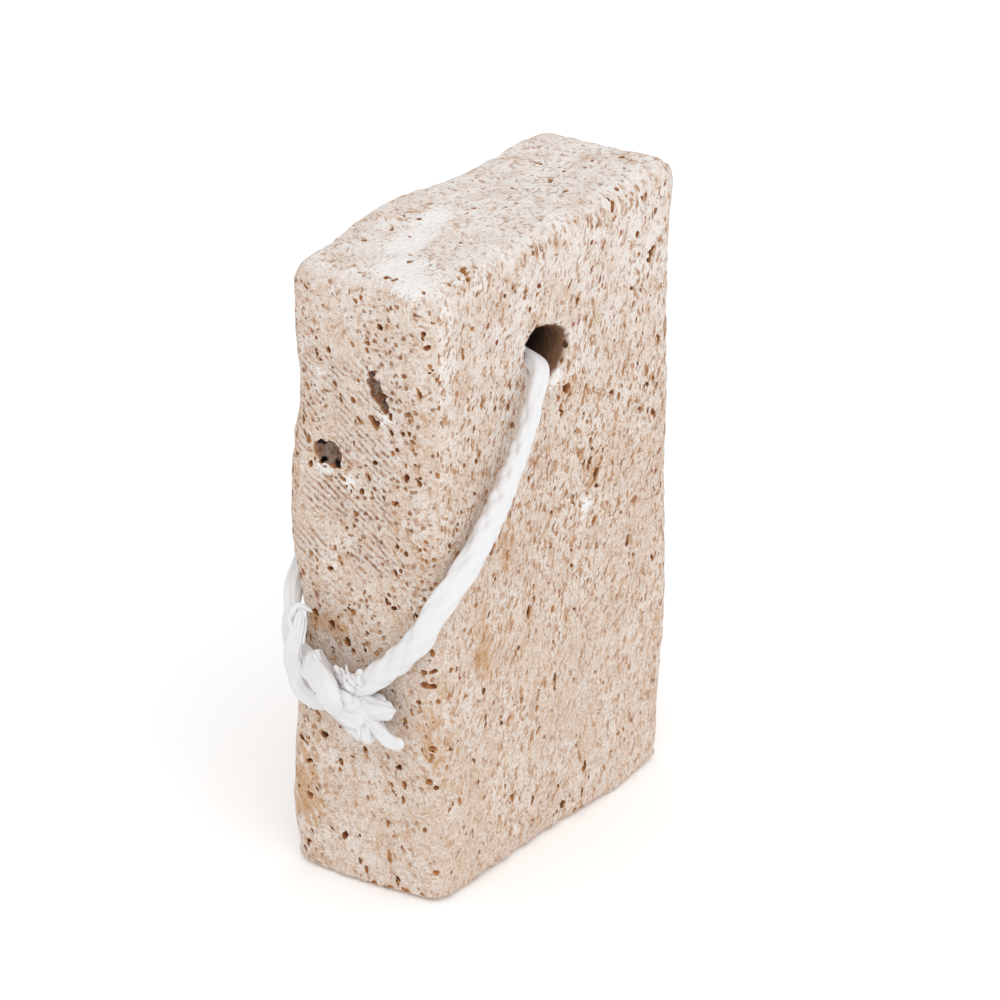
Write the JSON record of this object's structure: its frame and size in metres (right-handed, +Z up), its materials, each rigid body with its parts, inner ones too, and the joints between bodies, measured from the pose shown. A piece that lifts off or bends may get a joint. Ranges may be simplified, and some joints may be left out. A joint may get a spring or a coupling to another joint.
{
  "type": "pumice stone",
  "caption": "Sawn block of pinkish-beige pumice for rubbing hard skin, standing on one short end, with a white hanging cord through its drilled hole, knotted at the side.",
  "frame": {"origin": "middle of the short end that the stone stands on", "axes": "+Z up along the stone's length, towards the end with the hole; X across the wide faces, with the knot on the -X side; Y through the thickness, along the hole"},
  "size_m": [0.0709, 0.0368, 0.1018],
  "materials": {
    "pumice": "sawn and worn pumice, matt, full of open pores drawn out one way, with brown pore walls and chalky white patches",
    "cord_yarn": "white braided polypropylene yarn, soft, slightly shiny",
    "knot_yarn": "white braided polypropylene yarn, flattened in the knot and frayed at both cut ends"
  },
  "bodies": {
    "root": {"stone": "pumice", "cord": "cord_yarn", "knot": "knot_yarn"}
  },
  "joints": []
}
